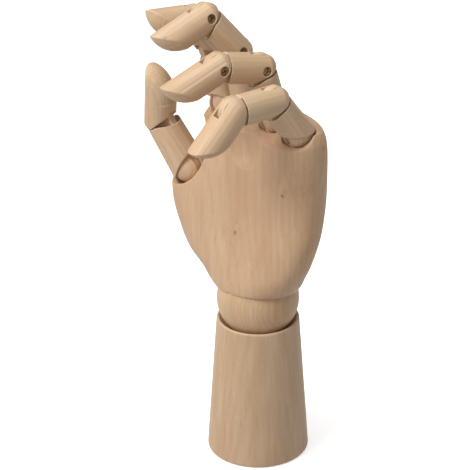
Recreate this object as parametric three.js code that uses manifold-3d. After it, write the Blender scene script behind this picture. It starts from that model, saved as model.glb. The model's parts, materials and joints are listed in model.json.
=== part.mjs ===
// Articulated wooden artist's hand (left hand), standing on its forearm base.
//
// Frame: millimetres, +Z up, origin at the centre of the base's foot. The palm faces -Y, the thumb is on
// the -X side and the little finger on the +X side. The hand is modelled in the pose in which it stands:
// the wrist leans a little and the fingers are bent as the angles below say.
//
// Every finger has its own frame at its knuckle: X is the hinge axis, Z runs along the bone and -Y is the
// palm side, so a positive bend is a positive turn about X. Each bone's frame is nested in the one before.

import * as THREE from "three";
import { mergeVertices } from "three/addons/utils/BufferGeometryUtils.js";
import Module from "manifold-3d";

const wasm = await Module();
wasm.setup();

// ---------------------------------------------------------------- driving dimensions (mm, degrees)

const GAP = 0.3; // running clearance between neighbouring pieces
const BALL_GAP = 0.5; // the same between a ball and its seat
const OVERSHOOT = 1; // how far a cutter reaches past the face it cuts
const BONE_SEGMENTS = 14; // flats round a finger bone

const base = {
  footRadius: 32.5,
  rimRadius: 26.2,
  height: 94,
  footChamfer: 0.8,
  rimRound: 0.5,
  boreRadius: 6.5,
  counterboreRadius: 10.5,
  counterboreDepth: 16,
  flare: { inner: 20.9, outer: 25.2, depth: 4 }, // the mouth's cone, above the wrist ball's seat
};
const plug = { radius: 10.1, height: 6 };
const anchorBar = { radius: 1.6, length: 17, height: 14.1 };

const wrist = { radius: 26, height: 107.2, bore: 5.5, lean: 5.6, leanHeading: 50.3 };
const wristSpring = { coilRadius: 3.6, wire: 0.7, turns: 9, coilTop: 76, upperPin: 155 };

const palmBore = { radius: 5.2, top: 162 };
const palmPin = { radius: 1.3, front: -13, back: 21.6 }; // pressed in from the back

// Palm sections: height, centre x, centre y, half width, half depth, squareness, turn about Z.
const palmSections = [
  [115.9, -0.7, -0.2, 28.6, 25, 2.0, 1],
  [119.5, -2.1, -0.4, 33.1, 25, 2.05, 3],
  [125, -3.5, -0.6, 37.4, 24.2, 2.15, 5],
  [134, -7.1, -0.8, 44.8, 22.6, 2.35, 9],
  [152, -8.9, -0.5, 51.5, 20, 2.6, 13],
  [168, -10.1, 0.2, 54.1, 18.8, 2.8, 15],
  [184, -8.7, 0.6, 55.2, 18, 2.8, 13],
  [203, -0.5, 2.0, 51.0, 17.2, 2.9, 6],
  [217, 2.8, 2.6, 48.8, 16.4, 3, 3],
  [223, 3.2, 2.8, 46.6, 16, 3, 3],
  [228, 2.3, 2.8, 43.7, 15.6, 3, 3],
  [232, 0.1, 2.8, 40.2, 15, 3, 3],
];
const palmRings = [
  115.9, 119.5, 125, 130, 136, 143, 152, 162, 173, 184, 194, 203, 212, 219, 224, 228, 232,
];
// The knuckles stand on an arch, z = crown - droop * (x - centre)^2.
const arch = { crown: 230.3, centre: -7, droop: 0.0021 };
const palmTop = { slope: 42.6, seatDrop: 1, lip: 1.8 }; // the sloping top face and the dorsal lip
const palmHollow = { centre: [6, -26.5, 213], radii: [20, 16.5, 23] };
const thumbDish = { radius: 30, below: 4.5, facing: [-0.25, -0.6, 0.73] }; // carved round the thumb's socket

const joint = { tongue: 5, slot: 5.6, slotRadius: 19, slotCentre: -8 };
const knuckle = {
  seatDepth: 7, // below the ball's centre, where the wide recess ends and the seat begins
  pinRadius: 1.25,
  slotHeading: 37, // the slot in the ball opens up and towards the palm
  slotPlane: -3,
  webThickness: 1.5, // of ball left below and behind the slot
  stemRadius: 0.6,
};
const hood = { backEdge: -6, palmEdge: 9, overhang: 1.4, taper: 0.5, clearance: 0.5, flare: 12 };
const spring = { coilRadius: 2.4, wire: 0.6, turns: 4, boreRadius: 3.9, depth: 34 };
const anchorPin = { radius: 1.1, front: -5, back: 12 };
const screw = {
  headRadius: 2.5,
  headHeight: 1.5,
  recessRadius: 2.9,
  recessDepth: 2.3,
  shankRadius: 1.15,
  crossWidth: 0.6,
  crossDepth: 0.9,
};
const relief = { angle: 50, distance: 3.6 }; // slanted palm side of a bone's slotted end
const cradle = { extraRadius: 0.5 }; // the rounded foot of a bone is a little wider than the bone
const fingertip = { length: 21.5, depth: 19.4, width: 13.2 };

// yaw and tilt turn the ball in its socket, bends are knuckle, middle joint and end joint.
// screws: the side (+1 ulnar, -1 radial) that each screw head is on. limits: the largest bends.
// springDepth and pinSpan are the knuckle spring's lower end and its pin, where they differ from the rest.
const fingers = [
  {
    name: "index",
    at: [-30.8, -1.1, 228.4],
    radius: 9.6,
    ball: 9,
    lengths: [36.1, 21.8, 34.2],
    yaw: -2.1,
    tilt: -10.1,
    bends: [5.7, 25.9, 55.2],
    limits: [84, 84],
    screws: [1, 1],
  },
  {
    name: "middle",
    at: [-6.8, -0.5, 231],
    radius: 9.6,
    ball: 9,
    lengths: [36.2, 30.6, 36.5],
    yaw: -9.5,
    tilt: -8.2,
    bends: [10, 31, 72.6],
    limits: [78, 84],
    screws: [1, 1],
  },
  {
    name: "ring",
    at: [15.2, 0.1, 229.1],
    radius: 9.6,
    ball: 9,
    lengths: [34.4, 29.3, 37.2],
    yaw: -10.2,
    tilt: -0.2,
    bends: [16.6, 64.3, 33.4],
    limits: [74, 62],
    screws: [1, 1],
  },
  {
    name: "little",
    at: [37.3, -0.2, 225.3],
    radius: 9.6,
    ball: 9,
    lengths: [30.7, 29.3, 34.8],
    yaw: -3.9,
    tilt: 2.9,
    bends: [38.9, 53.6, 45.7],
    springDepth: 27,
    limits: [64, 60],
    screws: [-1, -1],
  },
];
const thumb = {
  name: "thumb",
  at: [-50.1, -14, 183.9],
  radius: 10.1,
  firstRadius: 10.7,
  extraRadius: 0.9,
  ball: 9.8,
  lengths: [36.3, 35.8],
  direction: [-0.455, -0.262, 0.851], // of the first bone, in the palm's frame
  roll: 4.2,
  hood: { overhang: 1.9, taper: 0.85 },
  seatBend: 15, // the socket faces this far back from the bone's present direction
  bends: [15, 42.1],
  limits: [68],
  pinSpan: [-8.5, 8.5],
  screws: [1],
};

// ---------------------------------------------------------------- materials

const wood = (color, roughness = 0.62) => () =>
  new THREE.MeshStandardMaterial({ color, roughness, metalness: 0 });
const metal = (color, roughness = 0.38) => () =>
  new THREE.MeshStandardMaterial({ color, roughness, metalness: 0.9 });
const limewood = wood(0xd9b68c);
const ballwood = wood(0xdcbb92);
const darkSteel = metal(0x5a4a3a);
const springSteel = metal(0x9a9a9c);

// ---------------------------------------------------------------- solids

const rad = THREE.MathUtils.degToRad;
const IDENTITY = new THREE.Matrix4();

// A closed three.js geometry, moved by a matrix, as a manifold-3d solid.
function solid(geometry, matrix = IDENTITY) {
  const flat = geometry.clone();
  flat.deleteAttribute("normal");
  flat.deleteAttribute("uv");
  const merged = mergeVertices(flat.applyMatrix4(matrix), 1e-4);
  const index = merged.index.array;
  const triangles = [];
  for (let i = 0; i < index.length; i += 3) {
    const [a, b, c] = [index[i], index[i + 1], index[i + 2]];
    if (a !== b && b !== c && c !== a) triangles.push(a, b, c);
  }
  const mesh = new wasm.Mesh({
    numProp: 3,
    vertProperties: merged.attributes.position.array,
    triVerts: new Uint32Array(triangles),
  });
  return new wasm.Manifold(mesh);
}

// The same solid as a three.js geometry.
function geometryOf(made) {
  const mesh = made.getMesh();
  const geometry = new THREE.BufferGeometry();
  geometry.setAttribute("position", new THREE.BufferAttribute(mesh.vertProperties, 3));
  geometry.setIndex(new THREE.BufferAttribute(mesh.triVerts, 1));
  geometry.computeVertexNormals();
  return geometry;
}

// A copy of a solid, moved by a matrix.
const moved = (made, matrix) => solid(geometryOf(made), matrix);

function piece(parent, name, made, material) {
  const mesh = new THREE.Mesh(geometryOf(made), material());
  mesh.name = name;
  parent.add(mesh);
  return mesh;
}

const move = (x, y, z) => new THREE.Matrix4().makeTranslation(x, y, z);
const turnX = (degrees) => new THREE.Matrix4().makeRotationX(rad(degrees));
const turnY = (degrees) => new THREE.Matrix4().makeRotationY(rad(degrees));
const turnZ = (degrees) => new THREE.Matrix4().makeRotationZ(rad(degrees));
const chain = (...matrices) => matrices.reduce((all, next) => all.multiply(next), new THREE.Matrix4());

// A round bar along X, Y or Z between two stations.
function bar(axis, radius, from, to, segments = 10) {
  const upright = new THREE.CylinderGeometry(radius, radius, to - from, segments);
  const turns = { x: turnZ(-90), y: IDENTITY, z: turnX(90) };
  const middle = (from + to) / 2;
  const shift = { x: move(middle, 0, 0), y: move(0, middle, 0), z: move(0, 0, middle) };
  return solid(upright, chain(shift[axis], turns[axis]));
}

function ball(radius, segments = 20, rings = 12, centre = [0, 0, 0]) {
  return solid(new THREE.SphereGeometry(radius, segments, rings), chain(move(...centre), turnX(90)));
}

function block(x, y, z, matrix = IDENTITY) {
  const size = [x[1] - x[0], y[1] - y[0], z[1] - z[0]];
  const centre = move((x[0] + x[1]) / 2, (y[0] + y[1]) / 2, (z[0] + z[1]) / 2);
  return solid(new THREE.BoxGeometry(...size), chain(matrix, centre));
}

// A turned solid about Z. The profile runs upwards, as pairs of radius and height.
function turned(profile, segments) {
  const points = profile.map(([radius, height]) => new THREE.Vector2(radius, height));
  return solid(new THREE.LatheGeometry(points, segments), turnX(90));
}

const arcPoints = (radius, from, to, steps) =>
  Array.from({ length: steps + 1 }, (_, i) => {
    const angle = rad(from + ((to - from) * i) / steps);
    return [radius * Math.cos(angle), radius * Math.sin(angle)];
  });

// ---------------------------------------------------------------- springs and pins

// A tension spring along Z: a stem up to its top point, a coil and a hook round the lower pin.
function tensionSpring({ coilRadius, wire, turns, top, coilTop, bottom, hookRadius }) {
  const points = [top, new THREE.Vector3(0, 0, coilTop + 2)];
  const coilBottom = bottom + hookRadius + 5;
  const perTurn = 5;
  for (let i = 0; i <= turns * perTurn; i++) {
    const angle = (2 * Math.PI * i) / perTurn;
    const height = coilTop + ((coilBottom - coilTop) * i) / (turns * perTurn);
    points.push(new THREE.Vector3(coilRadius * Math.cos(angle), coilRadius * Math.sin(angle), height));
  }
  points.push(new THREE.Vector3(0, 0, coilBottom - 2));
  for (let i = 0; i <= 6; i++) {
    const angle = rad(80 - 250 * (i / 6));
    const offset = new THREE.Vector3(hookRadius * Math.cos(angle), 0, hookRadius * Math.sin(angle));
    points.push(offset.add(new THREE.Vector3(0, 0, bottom)));
  }
  const section = new THREE.Shape(arcPoints(wire, 0, 270, 3).map(([x, y]) => new THREE.Vector2(x, y)));
  const path = new THREE.CatmullRomCurve3(points, false, "centripetal");
  const steps = turns * perTurn + 20;
  return solid(new THREE.ExtrudeGeometry(section, { steps, extrudePath: path, bevelEnabled: false }));
}

// A countersunk screw along X: its head is at the given side and its shank crosses the joint.
function jointScrew(radius, side) {
  const top = radius - screw.recessDepth + screw.headHeight;
  const under = top - screw.headHeight;
  const cross = screw.crossWidth / 2;
  const head = bar("x", screw.headRadius, under, top, 12);
  const shank = bar("x", screw.shankRadius, -radius + 2.5, under + 0.5, 6);
  const slots = [
    block([top - screw.crossDepth, top + 1], [-1.6, 1.6], [-cross, cross]),
    block([top - screw.crossDepth, top + 1], [-cross, cross], [-1.6, 1.6]),
  ];
  const made = head.add(shank).subtract(slots[0]).subtract(slots[1]);
  return side > 0 ? made : moved(made, turnZ(180));
}

// The hole for that screw, with the recess for its head.
function screwHole(radius, side) {
  const recess = bar("x", screw.recessRadius, radius - screw.recessDepth - GAP, radius + 2, 12);
  const hole = bar("x", screw.shankRadius + GAP, -radius + 2.2, radius, 8);
  const made = recess.add(hole);
  return side > 0 ? made : moved(made, turnZ(180));
}

// ---------------------------------------------------------------- bones

// Profile points of the concave seat at the top of a bone, from its rim in to the axis.
function seatProfile(radius, seat, length) {
  const rim = THREE.MathUtils.radToDeg(Math.acos(radius / seat));
  return arcPoints(seat, -rim, -90, 4).map(([r, z]) => [Math.max(r, 0), z + length]);
}

// On the palm side the seat runs out in a trough, into which the next bone folds at its bend limit.
const seatTrough = (radius, length, limit) =>
  moved(bar("z", radius, 0, 40, BONE_SEGMENTS), chain(move(0, 0, length), turnX(limit)));

// The tongue that fills the next bone's slot.
function tongue(radius, from, length) {
  const half = joint.tongue / 2;
  const disc = bar("x", radius, -half, half, 12);
  const neck = block([-half, half], [-radius * 0.9, radius * 0.9], [from - length, 0]);
  return moved(disc.add(neck), move(0, 0, length));
}

const tongueHole = (length) =>
  moved(bar("x", screw.shankRadius + GAP, -joint.tongue, joint.tongue, 8), move(0, 0, length));

// A bone's slotted end: rounded ears about the hinge, cut on the slant on the palm side.
function slottedEnd(made, radius, side) {
  const half = joint.slot / 2;
  const slot = moved(bar("x", joint.slotRadius, -half, half, 20), move(0, 0, joint.slotCentre));
  const slant = block([-20, 20], [-40, 40], [-60, -relief.distance], turnX(-relief.angle));
  return made.subtract(slot).subtract(slant).subtract(screwHole(radius, side));
}

// The rounded lower end shared by middle and end bones.
const footRadius = (finger) => finger.radius + (finger.extraRadius ?? cradle.extraRadius);

function roundFoot(finger) {
  const foot = footRadius(finger);
  const meets = THREE.MathUtils.radToDeg(Math.acos(finger.radius / foot));
  return arcPoints(foot, -90, -meets, 4);
}

// First bone: a hood over the knuckle ball, a tongue in the ball's slot and a tongue at its top.
function firstBone(finger) {
  const { ball: ballRadius, lengths, limits } = finger;
  const { overhang, taper } = finger.hood ?? hood;
  const radius = finger.firstRadius ?? finger.radius;
  const seat = footRadius(finger) + GAP;
  const length = lengths[0];
  const half = joint.tongue / 2;
  const hoodRadius = ballRadius + overhang;
  const inside = arcPoints(ballRadius + BALL_GAP, 90, -45, 8);
  inside[0][0] = 0;
  const outside = arcPoints(hoodRadius, -45, 0, 3);
  const body = turned(
    [...inside, ...outside, [radius, length * taper], ...seatProfile(radius, seat, length)],
    BONE_SEGMENTS,
  );
  const slant = THREE.MathUtils.radToDeg(Math.atan2(hood.palmEdge - hood.backEdge, 2 * hoodRadius));
  const middle = (hood.palmEdge + hood.backEdge) / 2;
  const below = block([-40, 40], [-40, 40], [-60, 0], chain(move(0, 0, middle), turnX(-slant)));
  const discRadius = ballRadius - knuckle.webThickness - GAP;
  const lowerTongue = bar("x", discRadius, -half, half, 12).add(
    block([-half, half], [-discRadius * 0.8, discRadius * 0.8], [0, ballRadius + 2]),
  );
  return body
    .subtract(below)
    .subtract(seatTrough(seat, length, limits[0]))
    .add(tongue(finger.radius, length / 2, length))
    .add(lowerTongue)
    .subtract(bar("x", knuckle.pinRadius + GAP, -half - 1, half + 1, 8))
    .subtract(tongueHole(length));
}

// Middle bone: slotted below, tongue above.
function middleBone(finger) {
  const { radius, lengths, limits, screws } = finger;
  const length = lengths[1];
  const seat = footRadius(finger) + GAP;
  const body = turned([...roundFoot(finger), ...seatProfile(radius, seat, length)], BONE_SEGMENTS)
    .subtract(seatTrough(seat, length, limits[1]))
    .add(tongue(radius, length / 2 + 3, length));
  return slottedEnd(body, radius, screws[0]).subtract(tongueHole(length));
}

// End bone: slotted below, its tip narrowed and rounded off on the palm side like a fingertip.
function endBone(finger) {
  const { radius, lengths, screws } = finger;
  const length = lengths[lengths.length - 1];
  const start = length - fingertip.length;
  const body = turned([...roundFoot(finger), [radius, length], [0, length]], BONE_SEGMENTS);
  const scale = new THREE.Matrix4().makeScale(fingertip.width, fingertip.depth, fingertip.length);
  const oval = solid(new THREE.SphereGeometry(1, 16, 14), chain(move(0, radius * 0.96, start), scale));
  const tip = oval.add(block([-20, 20], [-20, 20], [-20, start]));
  return slottedEnd(body.intersect(tip), radius, screws[screws.length - 1]);
}

// ---------------------------------------------------------------- knuckle

// The ball: a slot for the bone's tongue, open upwards and towards the palm, and a cross hole.
function knuckleBall(ballRadius) {
  const half = joint.slot / 2;
  const inner = bar("x", ballRadius - knuckle.webThickness, -half, half, 12);
  const open = block([-half, half], [-20, 20], [knuckle.slotPlane, 20], turnX(knuckle.slotHeading));
  return ball(ballRadius, 14, 8)
    .subtract(inner)
    .subtract(open)
    .subtract(bar("x", knuckle.pinRadius + GAP, -12, 12))
    .subtract(bar("z", knuckle.stemRadius + GAP, -12, -2, 8));
}

const knucklePin = (ballRadius) => bar("x", knuckle.pinRadius, -ballRadius + 0.9, ballRadius - 0.9);

const depthOf = (digit) => digit.springDepth ?? spring.depth;
const spanOf = (digit) => digit.pinSpan ?? [anchorPin.front, anchorPin.back];

// What the palm loses at one knuckle: the spring's bore, the ball's seat and the recess for the hood.
function socketCut(digit) {
  const seat = digit.ball + BALL_GAP;
  const recess = digit.ball + (digit.hood ?? hood).overhang + hood.clearance;
  const toDegrees = THREE.MathUtils.radToDeg;
  const shoulder = -toDegrees(Math.asin(knuckle.seatDepth / seat));
  const start = -toDegrees(Math.asin(knuckle.seatDepth / recess));
  const reach = 12;
  const bore = bar("z", spring.boreRadius, -depthOf(digit) - 3, -seat + 2, 14);
  const socket = turned(
    [
      [0, -seat],
      ...arcPoints(seat, -66, shoulder, 2),
      ...arcPoints(recess, start, 0, 3),
      [recess + reach * Math.tan(rad(hood.flare)), reach],
      [0, reach],
    ],
    14,
  );
  return socket.add(bore);
}

const knuckleSpring = (digit) =>
  tensionSpring({
    ...spring,
    top: new THREE.Vector3(0, 0, -digit.ball - 0.6),
    coilTop: -digit.ball - 5,
    bottom: -depthOf(digit),
    hookRadius: anchorPin.radius + spring.wire + 0.3,
  });

// ---------------------------------------------------------------- frames

const root = new THREE.Group();
const wristCentre = new THREE.Vector3(0, 0, wrist.height);
const heading = rad(wrist.leanHeading);
const leanAxis = new THREE.Vector3(Math.cos(heading), Math.sin(heading), 0);

const wristGroup = new THREE.Group();
wristGroup.name = "frame_wrist";
wristGroup.position.copy(wristCentre);
wristGroup.quaternion.setFromAxisAngle(leanAxis, rad(-wrist.lean));
root.add(wristGroup);

// The palm is drawn in the base's frame with no lean, then leans with the wrist.
const palmGroup = new THREE.Group();
palmGroup.position.set(0, 0, -wrist.height);
wristGroup.add(palmGroup);

function nested(parent, name, position, matrix) {
  const group = new THREE.Group();
  group.name = name;
  group.applyMatrix4(matrix);
  group.position.set(...position);
  parent.add(group);
  return group;
}

// The thumb's seat: Z out of the socket, X along the hinge.
function thumbSeat() {
  const along = new THREE.Vector3(...thumb.direction).normalize();
  const across = new THREE.Vector3(0, 1, 0).addScaledVector(along, -along.y).normalize();
  const third = new THREE.Vector3().crossVectors(along, across);
  const roll = rad(thumb.roll);
  const hinge = across.multiplyScalar(Math.cos(roll)).addScaledVector(third, Math.sin(roll));
  const back = new THREE.Vector3().crossVectors(along, hinge);
  const bone = new THREE.Matrix4().makeBasis(hinge, back, along);
  return bone.multiply(turnX(-thumb.seatBend));
}

const seatOf = (digit) => (digit.direction ? thumbSeat() : IDENTITY.clone());
const placed = (digit) => chain(move(...digit.at), seatOf(digit));

// ---------------------------------------------------------------- palm block

// Smooth value of one column of the section table at a height.
function sectionValue(column, height) {
  const last = palmSections.length - 2;
  let i = palmSections.findIndex((row) => row[0] > height) - 1;
  if (i < 0) i = height < palmSections[0][0] ? 0 : last;
  const slope = (k) => {
    const low = palmSections[Math.max(k - 1, 0)];
    const high = palmSections[Math.min(k + 1, last + 1)];
    return (high[column] - low[column]) / (high[0] - low[0]);
  };
  const [from, to] = [palmSections[i], palmSections[i + 1]];
  const span = to[0] - from[0];
  const t = (height - from[0]) / span;
  const [t2, t3] = [t * t, t * t * t];
  return (
    (2 * t3 - 3 * t2 + 1) * from[column] +
    (t3 - 2 * t2 + t) * span * slope(i) +
    (3 * t2 - 2 * t3) * to[column] +
    (t3 - t2) * span * slope(i + 1)
  );
}

// A cylinder whose rings are pulled to the palm's rounded-rectangle sections.
function palmBody() {
  const rings = palmRings.length - 1;
  const geometry = new THREE.CylinderGeometry(1, 1, rings, 28, rings);
  const position = geometry.attributes.position;
  for (let i = 0; i < position.count; i++) {
    const height = palmRings[Math.round(position.getY(i) + rings / 2)];
    const reach = Math.hypot(position.getX(i), position.getZ(i));
    const angle = Math.atan2(position.getX(i), position.getZ(i));
    const [cx, cy, width, depth, square, turn] = [1, 2, 3, 4, 5, 6].map((c) => sectionValue(c, height));
    const round = (value) => Math.sign(value) * Math.abs(value) ** (2 / square);
    const x = reach * width * round(Math.cos(angle));
    const y = reach * depth * round(Math.sin(angle));
    const [c, s] = [Math.cos(rad(turn)), Math.sin(rad(turn))];
    position.setXYZ(i, cx + c * x - s * y, cy + s * x + c * y, height);
  }
  return solid(geometry);
}

// Everything above the knuckle arch, raised by an offset, swept along the sloping top face.
function aboveArch(offset, slope) {
  const reach = 75;
  const lift = Math.cos(rad(slope));
  const level = (x) => (arch.crown + offset - arch.droop * (x - arch.centre) ** 2) * lift;
  const rise = 2 * arch.droop * reach * lift;
  const [left, right] = [arch.centre - reach, arch.centre + reach];
  const shape = new THREE.Shape();
  shape.moveTo(left, level(left));
  shape.quadraticCurveTo(arch.centre, level(left) + rise * reach, right, level(right));
  shape.lineTo(right, level(right) + 90);
  shape.lineTo(left, level(left) + 90);
  const depth = 480;
  const geometry = new THREE.ExtrudeGeometry(shape, { depth, bevelEnabled: false, curveSegments: 12 });
  return solid(geometry, chain(turnX(90 + slope), move(0, 0, -depth / 2)));
}

function palmBlock() {
  const hollow = solid(
    new THREE.SphereGeometry(1, 16, 12),
    chain(move(...palmHollow.centre), new THREE.Matrix4().makeScale(...palmHollow.radii)),
  );
  const facing = new THREE.Vector3(...thumbDish.facing).normalize();
  const thumbAt = new THREE.Vector3(...thumb.at);
  const dishCentre = facing.multiplyScalar(thumbDish.radius - thumbDish.below).add(thumbAt);
  const pinHole = bar("y", palmPin.radius + GAP, palmPin.front - GAP, 40, 10);
  let made = palmBody()
    .subtract(aboveArch(-palmTop.seatDrop, palmTop.slope))
    .subtract(aboveArch(palmTop.lip, 0))
    .subtract(hollow)
    .subtract(ball(thumbDish.radius, 20, 12, dishCentre.toArray()))
    .subtract(ball(wrist.radius + BALL_GAP, 28, 14, [0, 0, wrist.height]))
    .subtract(bar("z", palmBore.radius, 120, palmBore.top, 12))
    .subtract(moved(pinHole, move(0, 0, wristSpring.upperPin)));
  for (const digit of [...fingers, thumb]) {
    made = made.subtract(moved(socketCut(digit).add(anchorHole(digit)), placed(digit)));
  }
  return made;
}

// The hole for the pin that a knuckle spring hooks on. The fingers' are drilled in from the back.
function anchorHole(digit) {
  const [front, back] = spanOf(digit);
  const end = digit.direction ? back + GAP : 30;
  const hole = bar("y", anchorPin.radius + GAP, front - GAP, end, 10);
  return moved(hole, move(0, 0, -depthOf(digit)));
}

// ---------------------------------------------------------------- assembly

function forearmBase() {
  const { footRadius, rimRadius, height, footChamfer, rimRound, boreRadius, flare } = base;
  const outside = turned(
    [
      [0, 0],
      [footRadius - footChamfer, 0],
      [footRadius, footChamfer],
      [rimRadius, height - rimRound],
      [rimRadius - rimRound, height],
      [0, height],
    ],
    36,
  );
  const mouth = turned(
    [
      [0, height - flare.depth],
      [flare.inner, height - flare.depth],
      [flare.outer, height + GAP],
      [flare.outer, height + OVERSHOOT],
      [0, height + OVERSHOOT],
    ],
    36,
  );
  return outside
    .subtract(mouth)
    .subtract(ball(wrist.radius + BALL_GAP, 28, 14, [0, 0, wrist.height]))
    .subtract(bar("z", boreRadius, 5, height, 20))
    .subtract(bar("z", base.counterboreRadius, -OVERSHOOT, base.counterboreDepth, 24));
}

function wristBall() {
  const edge = THREE.MathUtils.radToDeg(Math.asin(Math.sqrt(1 - (wrist.bore / wrist.radius) ** 2)));
  const profile = arcPoints(wrist.radius, -edge, edge, 10);
  profile.push(profile[0]);
  return turned(profile, 24);
}

piece(root, "forearm_base", forearmBase(), limewood);
piece(root, "base_plug", bar("z", plug.radius, 0, plug.height, 24), limewood);
const halfBar = anchorBar.length / 2;
const hookBar = moved(bar("y", anchorBar.radius, -halfBar, halfBar), move(0, 0, anchorBar.height));
piece(root, "base_anchor_bar", hookBar, darkSteel);

piece(wristGroup, "wrist_ball", wristBall(), ballwood);
// The wrist spring hangs from the palm's pin, runs through the ball and pulls on the base's anchor bar.
const underPin = palmPin.radius + wristSpring.wire + GAP;
const springReach = wristSpring.upperPin - wrist.height - underPin;
piece(
  root,
  "wrist_spring",
  tensionSpring({
    ...wristSpring,
    top: new THREE.Vector3(0, 0, springReach).applyQuaternion(wristGroup.quaternion).add(wristCentre),
    bottom: anchorBar.height,
    hookRadius: anchorBar.radius + wristSpring.wire + 0.6,
  }),
  springSteel,
);
piece(palmGroup, "palm_block", palmBlock(), limewood);
piece(
  palmGroup,
  "palm_anchor_pin",
  moved(bar("y", palmPin.radius, palmPin.front, palmPin.back), move(0, 0, wristSpring.upperPin)),
  darkSteel,
);

// One digit: spring and ball in the palm, then its bones, each hung on the one before.
function digitPieces(digit) {
  const { name, at, yaw = 0, tilt = 0, bends, lengths, screws } = digit;
  const seat = seatOf(digit);
  const anchor = nested(palmGroup, `frame_${name}_seat`, at, seat);
  const pin = bar("y", anchorPin.radius, ...spanOf(digit), 10);
  piece(anchor, `${name}_anchor_pin`, moved(pin, move(0, 0, -depthOf(digit))), darkSteel);
  piece(anchor, `${name}_spring`, knuckleSpring(digit), springSteel);
  const swivel = nested(anchor, `frame_${name}_ball`, [0, 0, 0], chain(turnZ(yaw), turnY(tilt)));
  piece(swivel, `${name}_knuckle_ball`, knuckleBall(digit.ball), ballwood);
  piece(swivel, `${name}_knuckle_pin`, knucklePin(digit.ball), darkSteel);
  const first = nested(swivel, `frame_${name}_first`, [0, 0, 0], turnX(bends[0]));
  piece(first, `${name}_proximal`, firstBone(digit), limewood);
  let parent = first;
  const names = lengths.length === 3 ? ["middle", "distal"] : ["distal"];
  names.forEach((bone, i) => {
    const frame = nested(parent, `frame_${name}_${bone}`, [0, 0, lengths[i]], turnX(bends[i + 1]));
    const made = bone === "middle" ? middleBone(digit) : endBone(digit);
    piece(frame, `${name}_${bone}`, made, limewood);
    piece(frame, `${name}_${bone}_screw`, jointScrew(digit.radius, screws[i]), darkSteel);
    parent = frame;
  });
}

[...fingers, thumb].forEach(digitPieces);

export default root;
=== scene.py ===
# Articulated wooden artist's hand: the finished pieces, their materials, and the scene.
#
# Every piece is rebuilt smoothly in the frame of its bone, in millimetres, and scaled to metres at the end.
# In a bone's frame X is the hinge, Z runs along the bone and -Y is the palm side.

import json
from math import acos, asin, atan2, cos, degrees, pi, radians, sin, tan

import bmesh
import bpy
from mathutils import Matrix, Vector

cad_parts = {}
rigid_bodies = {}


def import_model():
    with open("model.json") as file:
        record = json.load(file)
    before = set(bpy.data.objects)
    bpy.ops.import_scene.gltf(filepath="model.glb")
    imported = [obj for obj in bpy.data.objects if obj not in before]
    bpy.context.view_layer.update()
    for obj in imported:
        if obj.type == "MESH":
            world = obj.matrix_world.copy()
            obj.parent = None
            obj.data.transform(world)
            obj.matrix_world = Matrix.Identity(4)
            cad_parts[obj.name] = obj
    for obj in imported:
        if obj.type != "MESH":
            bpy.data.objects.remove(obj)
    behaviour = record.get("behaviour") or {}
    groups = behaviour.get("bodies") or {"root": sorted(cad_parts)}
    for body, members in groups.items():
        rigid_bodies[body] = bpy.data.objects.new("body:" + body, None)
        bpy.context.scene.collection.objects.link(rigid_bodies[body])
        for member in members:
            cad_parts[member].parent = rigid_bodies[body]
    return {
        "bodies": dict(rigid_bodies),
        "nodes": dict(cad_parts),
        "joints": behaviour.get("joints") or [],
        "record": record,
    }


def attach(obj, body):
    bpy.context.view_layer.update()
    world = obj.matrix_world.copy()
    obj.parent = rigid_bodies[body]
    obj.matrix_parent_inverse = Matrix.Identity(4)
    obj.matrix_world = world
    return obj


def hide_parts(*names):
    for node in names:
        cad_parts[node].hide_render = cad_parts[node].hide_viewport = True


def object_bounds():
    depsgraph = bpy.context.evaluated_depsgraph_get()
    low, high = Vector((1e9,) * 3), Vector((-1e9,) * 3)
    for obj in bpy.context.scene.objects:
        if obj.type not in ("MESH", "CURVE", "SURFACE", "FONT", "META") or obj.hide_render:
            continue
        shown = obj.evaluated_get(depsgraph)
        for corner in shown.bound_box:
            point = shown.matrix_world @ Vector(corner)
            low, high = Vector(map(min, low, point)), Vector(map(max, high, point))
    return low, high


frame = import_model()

cad_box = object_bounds()

# ---------------------------------------------------------------- dimensions (mm, degrees)

MM = 0.001
GAP = 0.3
BALL_GAP = 0.5
SEGMENTS = 72

BASE = {"foot": 32.5, "rim": 26.2, "height": 94, "chamfer": 0.8, "round": 0.5, "bore": 6.5}
COUNTERBORE = {"radius": 10.5, "depth": 16}
RIM_FLARE = {"inner": 20.9, "outer": 25.2, "depth": 4}
PLUG = {"radius": 10.1, "height": 6}
ANCHOR_BAR = {"radius": 1.6, "length": 17, "height": 14.1}

WRIST = {"radius": 26, "height": 107.2, "bore": 5.5, "lean": 5.6, "heading": 50.3}
WRIST_SPRING = {"coil": 3.6, "wire": 0.7, "turns": 46, "coil_top": 76, "upper_pin": 155}

PALM_BORE = {"radius": 5.2, "top": 162}
PALM_PIN = {"radius": 1.3, "front": -13, "back": 21.6}
# Palm sections: height, centre x, centre y, half width, half depth, squareness, turn about Z.
PALM_SECTIONS = [
    [115.9, -0.7, -0.2, 28.6, 25, 2.0, 1],
    [119.5, -2.1, -0.4, 33.1, 25, 2.05, 3],
    [125, -3.5, -0.6, 37.4, 24.2, 2.15, 5],
    [134, -7.1, -0.8, 44.8, 22.6, 2.35, 9],
    [152, -8.9, -0.5, 51.5, 20, 2.6, 13],
    [168, -10.1, 0.2, 54.1, 18.8, 2.8, 15],
    [184, -8.7, 0.6, 55.2, 18, 2.8, 13],
    [203, -0.5, 2.0, 51.0, 17.2, 2.9, 6],
    [217, 2.8, 2.6, 48.8, 16.4, 3, 3],
    [223, 3.2, 2.8, 46.6, 16, 3, 3],
    [228, 2.3, 2.8, 43.7, 15.6, 3, 3],
    [232, 0.1, 2.8, 40.2, 15, 3, 3],
]
ARCH = {"crown": 230.3, "centre": -7, "droop": 0.0021}
PALM_TOP = {"slope": 42.6, "drop": 1, "lip": 1.8}
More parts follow.
